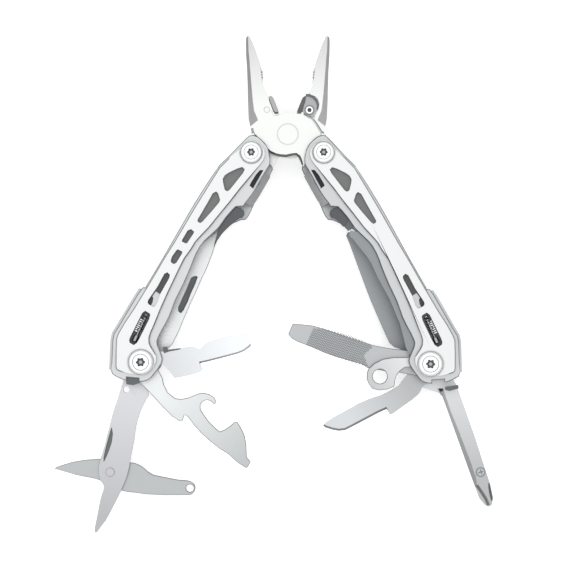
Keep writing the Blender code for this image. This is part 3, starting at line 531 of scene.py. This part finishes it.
# the rivet's fine ring
finish_piece(ring_piece("rivet_ring", RIVET, 3.60, 3.96, 14.2, 14.52), M["head_ring"], "head")

# ------------------------------------------------------------------- handles
W1 = [(238, 169), (242.5, 167.7), (245, 170), (243.5, 173.5), (236, 183), (230, 190.5),
      (227.5, 192), (225, 190.5), (223.3, 183), (223, 179.5), (225, 176), (229, 173.2)]
W2 = [(216.5, 192), (218.5, 194), (220.5, 200.5), (219.5, 203), (212, 212), (203, 222),
      (200.5, 223.7), (198, 222), (198, 220), (201, 215), (208, 203), (213, 194)]
W3 = [(191.5, 229.5), (194.5, 232), (194, 234), (188, 243), (186.5, 244), (182.5, 242),
      (182.5, 240.5), (188, 231)]
W4 = [(178.5, 249.7), (183, 252), (182.5, 254), (177, 263), (174.5, 264.5), (172, 263),
      (171.2, 261), (172.5, 257), (177, 250.5)]


def grown(pts, d):
    cu, cv = sum(p[0] for p in pts) / len(pts), sum(p[1] for p in pts) / len(pts)
    out = []
    for u, v in pts:
        k = math.hypot(u - cu, v - cv)
        out.append((u + (u - cu) / k * d, v + (v - cv) / k * d))
    return out


for tag, wins in (("left", (W1, W2, W3, W4)), ("right", (W1, W2))):
    ct, cb = mid("screw_top_" + tag), mid("screw_bottom_" + tag)
    seats, holes = [(ct, 5.3), (cb, 5.9)], [(ct, 4.4), (cb, 5.0)]
    # the chamfers take the side copy: painted shade lines along the scale and liner edges
    remake("front_scale_" + tag, M["scale_" + tag], bevel=0.32, segs=1, edge=0.36, clamp=False,
           clear=seats)
    remake("rear_scale_" + tag, M["scale_" + tag], bevel=0.32, segs=1, edge=0.36, clamp=False,
           clear=seats)
    remake("front_liner_" + tag, M["liner_" + tag], bevel=0.28, segs=1, edge=0.40, clamp=False,
           clear=holes)
    remake("rear_liner_" + tag, M["liner_" + tag], bevel=0.28, segs=1, edge=0.40, clamp=False,
           clear=holes)
    remake("spine_" + tag, M["wall"], bevel=0.12)
    remake("inner_web_" + tag, M["wall"], bevel=0.12)
    # the back spring is painted near black: painted shade inside the channel
    remake("back_spring_" + tag, M["dark"], bevel=0.16)
    remake("lock_leaf_" + tag, M["liner_" + tag], bevel=0.06)
    remake("lock_spring_" + tag, M["spring"], bevel=0.0)
    remake("lock_plunger_" + tag, M["plunger"], bevel=0.0)
    for end, r in (("top", 4.05), ("bottom", 4.6)):
        c = mid("screw_%s_%s" % (end, tag))
        # the driver recess is painted dark: painted shade
        remake("screw_%s_%s" % (end, tag), M["screw"], bevel=0.07, segs=1, edge=0.95,
               flat=0.80, paint=[(recess(c, r * 0.37, 20.3), M["recess"])])
        pin = ((c[0] / G) + U0, V0 - c[1] / G)
        finish_piece(disc("%s_pin_%s" % (end, tag), pin, r * 0.13, 19.6, 20.0), M["plunger"],
                     "handle_" + tag)
        finish_piece(ring_cut("%s_turned_%s" % (end, tag), pin, r * 0.60, r * 0.64, 20.2, 20.4),
                     M["head_ring"], "handle_" + tag)
        remake("nut_%s_%s" % (end, tag), M["screw"], bevel=0.07)
    for n in NODES:
        if n.startswith("spacer_") and n.endswith(tag):
            remake(n, M["liner_" + tag], bevel=0.10)
    # a dark plate under each window: painted shadow inside the handle
    for k, w in enumerate(wins):
        w = grown(w, 1.2)
        if tag == "right":
            w = [to_right(p) for p in w]
        finish_piece(prism("window_shadow_%s_%d" % (tag, k + 1), w, 17.64, 17.82),
                     M["rim"] if k > 1 else M["floor"], "handle_" + tag)

LOCK_FLOOR = [(169.5, 271), (172.3, 274), (172, 279), (163, 295), (159.5, 304),
              (157, 308.3), (153.5, 308.8), (148, 306), (146.4, 303), (147.2, 299.5),
              (156.5, 286), (163.5, 272.5)]
LEAF_TOP = [(169.5, 271), (172.3, 274), (172, 279), (162.4, 294.6), (155.6, 290.2),
            (163.5, 272.5)]
COIL_FLOOR = [(146, 309.4), (151.4, 312.6), (152.3, 315), (151, 319.5), (141, 340),
              (138.2, 344.4), (134.6, 346.4), (129.6, 343.4), (128.8, 340), (130, 336.5),
              (142, 312)]
RIM_FLOOR = [(258.6, 168.6), (264.6, 168.9), (264.8, 171.5), (258.9, 183.2), (254.0, 191.2),
             (247.6, 187.0), (250, 182), (255, 174)]
# dark plates under the lock, the coil and the rim hole, and over the leaf: painted shadow
for tag in ("left", "right"):
    for nm, pts, za, zb, mk in (("lock_shadow", LOCK_FLOOR, 16.36, 16.54, "recess"),
                                ("coil_shadow", COIL_FLOOR, 16.36, 16.54, "rim"),
                                ("leaf_shadow", LEAF_TOP, 17.5, 17.75, "recess"),
                                ("rim_hole_shadow", RIM_FLOOR, 15.7, 16.25, "hole_shadow")):
        p = grown(pts, 0.8)
        if tag == "right":
            p = [to_right(q) for q in p]
        finish_piece(prism("%s_%s" % (nm, tag), p, za, zb), M[mk], "handle_" + tag)

# the right spring's tail as a dark bar: painted shade in the channel
TAIL = [(236.5, 220.4), (229.5, 226.4), (225.4, 230.6), (222, 228.8), (219.5, 226.0),
        (224.5, 217.0), (230, 216)]
finish_piece(prism("spring_tail_right", [to_right(q) for q in TAIL], 14.95, 16.2),
             M["bar"], "handle_right")

# coils of the lock springs: rings set across the pocket
for tag in ("left", "right"):
    a, b = (145.4, 314.5), (137.2, 331.0)
    for i in range(3, 10):
        t = i / 9
        q = (a[0] + (b[0] - a[0]) * t, a[1] + (b[1] - a[1]) * t)
        du, dv = b[0] - a[0], b[1] - a[1]
        k = math.hypot(du, dv)
        du, dv = du / k, dv / k
        w, h = 2.1, 0.52
        p = [(q[0] - dv * w - du * h, q[1] + du * w - dv * h),
             (q[0] - dv * w + du * h, q[1] + du * w + dv * h),
             (q[0] + dv * w + du * h, q[1] - du * w + dv * h),
             (q[0] + dv * w - du * h, q[1] - du * w - dv * h)]
        if tag == "right":
            p = [to_right(x) for x in p]
        coil = prism("coil_%s_%d" % (tag, i), p, 17.5, 17.95)
        finish_piece(coil, M["coil"], "handle_" + tag)

# --------------------------------------------------------------------- tools
z1, z3, z5, z6, z7 = slab(1)[1], slab(3)[1], slab(5)[1], slab(6)[1], slab(7)[1]
FD_LOW = [(252.2, 343.5), (250.5, 345.5), (244.9, 349.6), (238.8, 352.1), (221.4, 356.7),
          (207.1, 360.3), (200.5, 361.8)]
remake("flat_driver", M["flat_driver"],
       [wedge("c", offset(FD_LOW, 1.6), FD_LOW, z1, z1 - 0.75, SH_L)], bevel=0.10)
remake("can_opener", M["can_opener"], bevel=0.22, segs=1, edge=0.48, clamp=False)
NICK = [(111.5, 426.5), (112.6, 433), (111.6, 441), (109, 449), (106.4, 455.5), (103.5, 461),
        (103.6, 456), (105.6, 447), (108, 438), (110.2, 430)]
remake("scissor_blade", M["scissor_blade"],
       [prism("c", NICK, z5 - 0.55, z5 + 1, SH_L)], bevel=0.10)
remake("scissor_rivet", M["scissor_blade"], bevel=0.04)
remake("scissor_lever", M["scissor_lever"], bevel=0.20, segs=1, edge=0.48, clamp=False)
remake("knife_blade", M["knife_blade"], bevel=0.20, segs=1, edge=0.48, clamp=False)
K_NICK = [(197, 274.5), (195, 281), (190, 292), (187, 300), (183, 308), (180.5, 311.5),
          (178, 309), (178, 306), (182, 297), (187, 286), (191, 276), (194, 274.8)]
# a dark floor closing the knife's through slot: painted shade in the nail nick
finish_piece(prism("knife_nick_shadow", grown(K_NICK, 0.25), 4.15, 4.7, SH_L), M["nick"], "knife")
# the saw's sides take a lighter copy: painted highlight along its edge
remake("saw_blade", M["saw"], bevel=0.22, segs=1, edge=1.5)
remake("large_knife", M["large_knife"], bevel=0.14, edge=0.8)
remake("ring_tool", M["ring_tool"], bevel=0.20, segs=1, edge=0.48, clamp=False)
remake("file_blade", M["file"], bevel=0.20, segs=1, edge=0.48, clamp=False)
FILE_AREA = [(313, 327.6), (330, 329.6), (350, 335.2), (366, 341.6), (374, 347), (364.6, 355),
             (369, 367.6), (352, 362.6), (334, 356.4), (318, 350.4), (305, 345)]


def clip_line(poly, p, d):
    """Where the line p + t d lies inside the outline: its stretches, as pairs of t."""
    ts = []
    n = len(poly)
    for i in range(n):
        a, b = poly[i], poly[(i + 1) % n]
        ex, ey = b[0] - a[0], b[1] - a[1]
        den = d[0] * ey - d[1] * ex
        if abs(den) < 1e-9:
            continue
        t = ((a[0] - p[0]) * ey - (a[1] - p[1]) * ex) / den
        s = ((a[0] - p[0]) * d[1] - (a[1] - p[1]) * d[0]) / den
        if 0 <= s < 1:
            ts.append(t)
    ts.sort()
    return [(ts[i], ts[i + 1]) for i in range(0, len(ts) - 1, 2)]


def hatch(name, deg, pitch, width, z0, z1, mat):
    bm = bmesh.new()
    d = (math.cos(math.radians(deg)), math.sin(math.radians(deg)))
    nrm = (-d[1], d[0])
    cu, cv = 340.0, 347.0
    for i in range(-40, 41):
        p = (cu + nrm[0] * pitch * i, cv + nrm[1] * pitch * i)
        for ta, tb in clip_line(FILE_AREA, p, d):
            if tb - ta < 1.5:
                continue
            ta, tb = ta + 0.9, tb - 0.9
            a = (p[0] + d[0] * ta, p[1] + d[1] * ta)
            b = (p[0] + d[0] * tb, p[1] + d[1] * tb)
            h = width / 2
            corners = [(a[0] - nrm[0] * h, a[1] - nrm[1] * h), (b[0] - nrm[0] * h, b[1] - nrm[1] * h),
                       (b[0] + nrm[0] * h, b[1] + nrm[1] * h), (a[0] + nrm[0] * h, a[1] + nrm[1] * h)]
            lo = [(*xy(q, FSH), z0 * MM) for q in corners]
            hi = [(*xy(q, FSH), z1 * MM) for q in corners]
            loop_faces(bm, [lo, hi])
    me = bpy.data.meshes.new(name)
    bm.to_mesh(me)
    bm.free()
    finish_piece(new_object(name, me), mat, "file")


FSH = (0, 0)
# the file's cut drawn as dark raised bars: painted shade of the grooves
hatch("file_cut_a", 52, 1.75, 0.52, z3 - 0.05, z3 + 0.06, M["file_cut"])
hatch("file_cut_b", -14, 1.75, 0.52, z3 - 0.05, z3 + 0.09, M["file_cut"])
r4 = slab(4)[1]
SK_LOW = [(388.4, 410.4), (387.4, 411.0), (379.5, 414.5), (367.1, 421.1), (354.6, 427.7),
          (346.3, 431.9), (339.7, 432.7), (333.1, 431.5), (326.4, 429.4), (323.5, 427.5)]
remake("small_knife", M["small_knife"],
       [wedge("c", offset(SK_LOW, 2.2), SK_LOW, r4, r4 - 0.8, SH_R)], bevel=0.08)
CD_IN = [(444.6, 390.2), (451, 409.3), (461.2, 434.8), (471.4, 461.6), (476.5, 476.9),
         (479.1, 488.4)]
CD_OUT = [(441.4, 390.2), (448.0, 409.3), (457.1, 434.8), (466.7, 461.6), (472.2, 476.9),
          (476.3, 488.4)]
def flute(name, line, w):
    """Groove with sloping sides along a line: the hollow between two wings of the tip."""
    bm = bmesh.new()
    left, right = offset(line, -w), offset(line, w)
    rings = []
    for a, c, b in zip(left, line, right):
        (ax, ay), (cx, cy), (bx, by) = xy(a, SH_R), xy(c, SH_R), xy(b, SH_R)
        rings.append([(ax, ay, 9.02 * MM), (cx, cy, 8.62 * MM), (bx, by, 9.02 * MM),
                      (bx, by, 10 * MM), (ax, ay, 10 * MM)])
    loop_faces(bm, rings)
    me = bpy.data.meshes.new(name)
    bm.to_mesh(me)
    bm.free()
    return new_object(name, me)


remake("cross_driver", M["cross_driver"],
       [wedge("c", CD_IN, CD_OUT, 9.0, 6.8, SH_R),
        flute("c3", [(478.5, 487.5), (483.0, 494.0), (487.5, 501.0), (490.2, 507.5)], 1.7),
        flute("c4", [(491.2, 485.5), (491.6, 491.0), (492.6, 497.0), (494.2, 503.0)], 1.5)],
       bevel=0.08, edge=0.6)

finish_piece(ring_cut("driver_mark", (482.3, 474.3), 1.38, 1.72, 8.9, 9.06, SH_R), M["mark_and_shade"],
             "cross_driver")
for nm, pts in (("a", [(479.6, 474.8), (484.6, 473.0), (484.9, 473.8), (479.9, 475.6)]),
                ("b", [(481.6, 471.8), (482.4, 471.5), (484.1, 476.4), (483.3, 476.7)])):
    finish_piece(prism("driver_mark_" + nm, pts, 8.9, 9.05, SH_R), M["mark_and_shade"], "cross_driver")
# scissors: a dark floor in the nail nick, painted shade, and the ring round the pivot rivet
finish_piece(prism("scissor_nick_shadow", grown(NICK, 0.2), z5 - 0.62, z5 - 0.5, SH_L), M["nick"],
             "scissors")
rv = mid("scissor_rivet")
rv = (rv[0] / G + U0, V0 - rv[1] / G)
finish_piece(ring_cut("scissor_rivet_ring", rv, 1.12, 1.42, z5 - 0.02, z5 + 0.07), M["mark_and_shade"],
             "scissors")
# painted shadow: dark plates in the shadowed corners, at the root of the flat driver and at the liner
# notches at the handles' ends
finish_piece(prism("driver_root_shadow", [(162.6, 347.2), (167.4, 346.4), (168.4, 349.6), (181, 348.0),
                                   (181, 349.2), (169, 351.6), (164.4, 353.4)], 16.15, 16.33),
             M["rim"], "flat_driver")
finish_piece(prism("notch_shadow_left", [(126.2, 376.6), (130, 375.4), (140.4, 378.4), (140, 382.8),
                                  (134, 385), (126.8, 384.2)], 16.36, 16.5),
             M["bar"], "handle_left")
finish_piece(prism("notch_shadow_right", [(444.4, 389.6), (444.8, 386.6), (457.6, 384.6),
                                   (458.2, 388.2), (449, 390.8)], 16.36, 16.5),
             M["rim"], "handle_right")

# ------------------------------------------------------------ floor and light
bm = bmesh.new()
N = 24
S = 1.6
grid = [[bm.verts.new((-S + 2 * S * i / N, -S + 2 * S * j / N, -0.0006)) for i in range(N + 1)]
        for j in range(N + 1)]
for j in range(N):
    for i in range(N):
        bm.faces.new((grid[j][i], grid[j][i + 1], grid[j + 1][i + 1], grid[j + 1][i]))
me = bpy.data.meshes.new("floor")
bm.to_mesh(me)
bm.free()
floor = new_object("floor", me)
fm = bpy.data.materials.new("pale_floor")
fm.use_nodes = True
fb = fm.node_tree.nodes["Principled BSDF"]
fn = fm.node_tree.nodes.new("ShaderNodeTexNoise")
fn.inputs["Scale"].default_value = 3.0
fr = fm.node_tree.nodes.new("ShaderNodeValToRGB")
fr.color_ramp.elements[0].color = (0.90, 0.90, 0.90, 1)
fr.color_ramp.elements[1].color = (0.93, 0.93, 0.93, 1)
fm.node_tree.links.new(fn.outputs["Fac"], fr.inputs["Fac"])
fm.node_tree.links.new(fr.outputs["Color"], fb.inputs["Base Color"])
fb.inputs["Emission Color"].default_value = (1, 1, 1, 1)
fb.inputs["Emission Strength"].default_value = 0.40
fb.inputs["Roughness"].default_value = 0.9
fb.inputs["Specular IOR Level"].default_value = 0.1
me.materials.append(fm)

world = bpy.data.worlds.new("studio")
bpy.context.scene.world = world
world.use_nodes = True
wn, wl = world.node_tree.nodes, world.node_tree.links
bg = wn["Background"]
tc = wn.new("ShaderNodeTexCoord")
sep = wn.new("ShaderNodeSeparateXYZ")
wl.new(tc.outputs["Generated"], sep.inputs["Vector"])
wr = wn.new("ShaderNodeValToRGB")
wr.color_ramp.elements[0].position = 0.10
wr.color_ramp.elements[0].color = (0.22, 0.225, 0.23, 1)
wr.color_ramp.elements[1].position = 0.97
wr.color_ramp.elements[1].color = (0.80, 0.80, 0.80, 1)
for pos in (0.42, 0.86):
    e = wr.color_ramp.elements.new(pos)
    e.color = (1.12, 1.12, 1.12, 1)
wl.new(sep.outputs["Z"], wr.inputs["Fac"])
wl.new(wr.outputs["Color"], bg.inputs["Color"])
bg.inputs["Strength"].default_value = 1.0


def area(name, loc, target, size, power):
    ld = bpy.data.lights.new(name, "AREA")
    ld.shape = "RECTANGLE"
    ld.size, ld.size_y = size
    ld.energy = power
    ob = bpy.data.objects.new(name, ld)
    bpy.context.scene.collection.objects.link(ob)
    ob.location = loc
    d = Vector(target) - Vector(loc)
    ob.rotation_mode = "QUATERNION"
    ob.rotation_quaternion = d.to_track_quat("-Z", "Y")
    return ob


area("key", (-0.15, 0.2, 1.9), (0, 0, 0), (1.7, 1.7), 7.0)

cam = bpy.data.cameras.new("camera")
cob = bpy.data.objects.new("camera", cam)
bpy.context.scene.collection.objects.link(cob)
D, EL = 0.9, math.radians(89.2)
T = Vector(((285 - U0) * G, (V0 - 285) * G, 0.0145))
back = Vector((0, -math.cos(EL), math.sin(EL)))
cob.location = T + back * D
cob.rotation_mode = "QUATERNION"
cob.rotation_quaternion = (-back).to_track_quat("-Z", "Y")
cam.sensor_width = 36.0
cam.lens = 36.0 * D / (570 * G)
cam.clip_start, cam.clip_end = 0.01, 20
bpy.context.scene.camera = cob
bpy.context.scene.view_settings.view_transform = "Standard"
bpy.context.scene.view_settings.look = "None"
